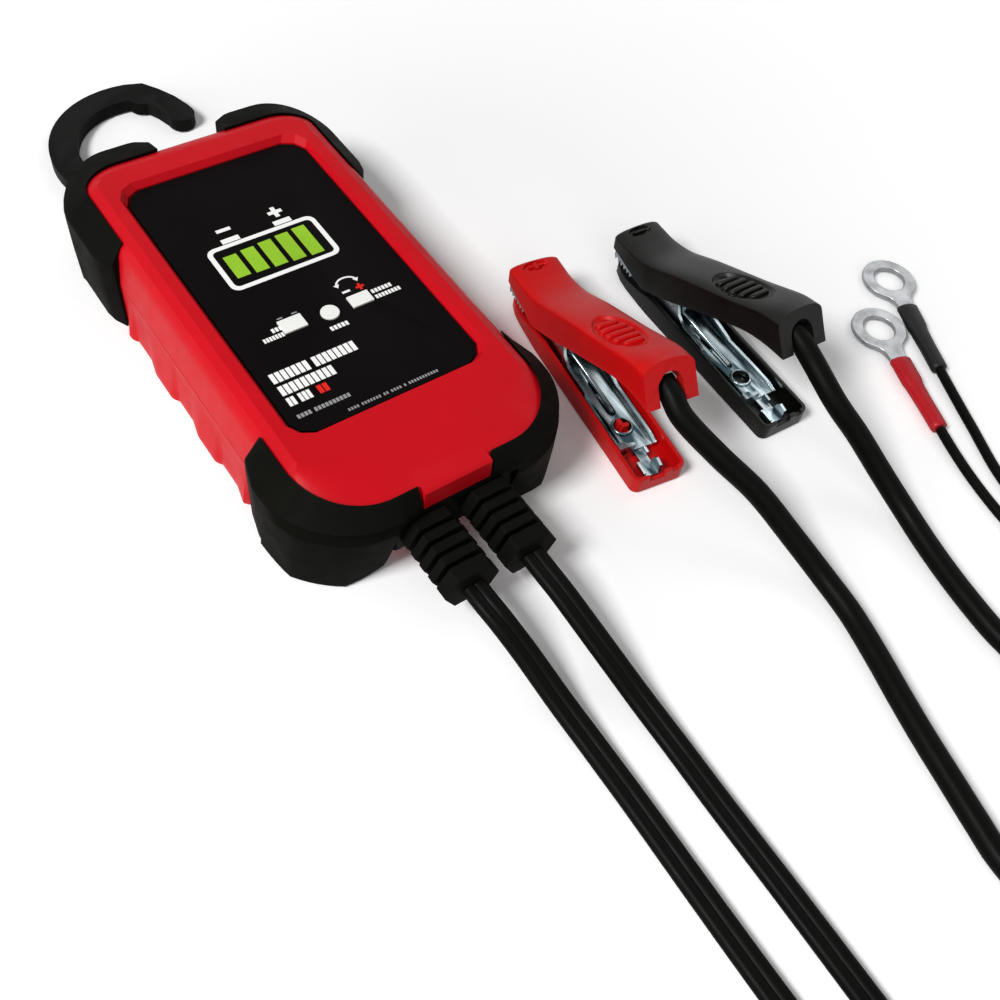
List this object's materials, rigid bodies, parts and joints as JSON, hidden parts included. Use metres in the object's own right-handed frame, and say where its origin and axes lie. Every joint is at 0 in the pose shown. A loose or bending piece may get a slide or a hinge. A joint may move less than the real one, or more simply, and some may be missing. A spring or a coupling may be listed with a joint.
{
  "type": "car battery charger",
  "caption": "Compact car battery charger with rubber corner bumpers, a fold-out hanging hook, a mains cord and a quick-connect output cord for clamps or ring terminals.",
  "frame": {"origin": "on the case's flat back, under the middle of the case", "axes": "+X to the right as seen with the label upright, +Y toward the hanging hook, +Z out of the label"},
  "size_m": [0.2912, 0.4529, 0.0387],
  "materials": {
    "case_red": "satin moulded red",
    "rubber": "matte moulded black",
    "label": "printed panel, satin black",
    "window": "frosted, light coloured",
    "black_plastic": "fine grained black",
    "steel": "bright plated, pressed",
    "brass": "polished",
    "board": "green solder mask",
    "component_dark": "wound core with tape",
    "capacitor": "sleeved can",
    "aluminium": "extruded, brushed",
    "led": "clear lens",
    "cord": "black vinyl jacket",
    "clamp_red": "satin moulded red",
    "clamp_black": "satin moulded black",
    "sleeve_red": "shrunk tubing",
    "sleeve_black": "shrunk tubing"
  },
  "bodies": {
    "charger": {"ac_coil": "cord", "ac_cord": "cord", "ac_cord_end": "cord", "ac_tie": "black_plastic", "battery_window": "window", "black_lead": "cord", "black_lower_cover": "clamp_black", "black_lower_jaw": "steel", "black_pivot_pin": "steel", "black_ring_terminal": "steel", "black_ring_wire": "cord", "black_sleeve": "sleeve_black", "black_spring": "steel", "bottom_shell": "case_red", "bumper_back_left": "rubber", "bumper_back_right": "rubber", "bumper_front_left": "rubber", "bumper_front_right": "rubber", "case_screw_back_left": "steel", "case_screw_back_right": "steel", "case_screw_front_left": "steel", "case_screw_front_right": "steel", "circuit_board": "board", "clamp_connector": "black_plastic", "dc_coil": "cord", "dc_connector": "black_plastic", "dc_cord": "cord", "dc_cord_end": "cord", "dc_tie": "black_plastic", "filter_capacitor": "capacitor", "gland_plate": "black_plastic", "heat_sink": "aluminium", "hook_pin": "steel", "label_panel": "label", "led_module": "led", "plug_blade_left": "brass", "plug_blade_right": "brass", "plug_body": "black_plastic", "power_window": "window", "red_lead": "cord", "red_lower_cover": "clamp_red", "red_lower_jaw": "steel", "red_pivot_pin": "steel", "red_ring_terminal": "steel", "red_ring_wire": "cord", "red_sleeve": "sleeve_red", "red_spring": "steel", "ring_connector": "black_plastic", "status_window": "window", "strain_relief_ac": "rubber", "strain_relief_dc": "rubber", "top_shell": "case_red", "transformer": "component_dark"},
    "hook": {"hanging_hook": "black_plastic"},
    "red_clamp_upper": {"red_upper_cover": "clamp_red", "red_upper_jaw": "steel"},
    "black_clamp_upper": {"black_upper_cover": "clamp_black", "black_upper_jaw": "steel"}
  },
  "joints": [
    {"name": "hook_fold", "type": "hinge", "parent": "charger", "child": "hook", "pos_m": [0, 0.067, 0.0026], "axis": [1, 0, 0], "range_deg": [-180, 0]},
    {"name": "red_clamp_open", "type": "hinge", "parent": "charger", "child": "red_clamp_upper", "pos_m": [0.06252, -0.03687, 0.01], "axis": [0.99, -0.1409, 0], "range_deg": [0, 18], "stiffness_Nm_per_rad": 0.6, "springref_deg": -20.05, "deforming": ["red_spring", "red_lead"]},
    {"name": "black_clamp_open", "type": "hinge", "parent": "charger", "child": "black_clamp_upper", "pos_m": [0.1006, -0.04006, 0.01], "axis": [0.9988, -0.0489, 0], "range_deg": [0, 18], "stiffness_Nm_per_rad": 0.6, "springref_deg": -20.05, "deforming": ["black_spring", "black_lead"]}
  ]
}
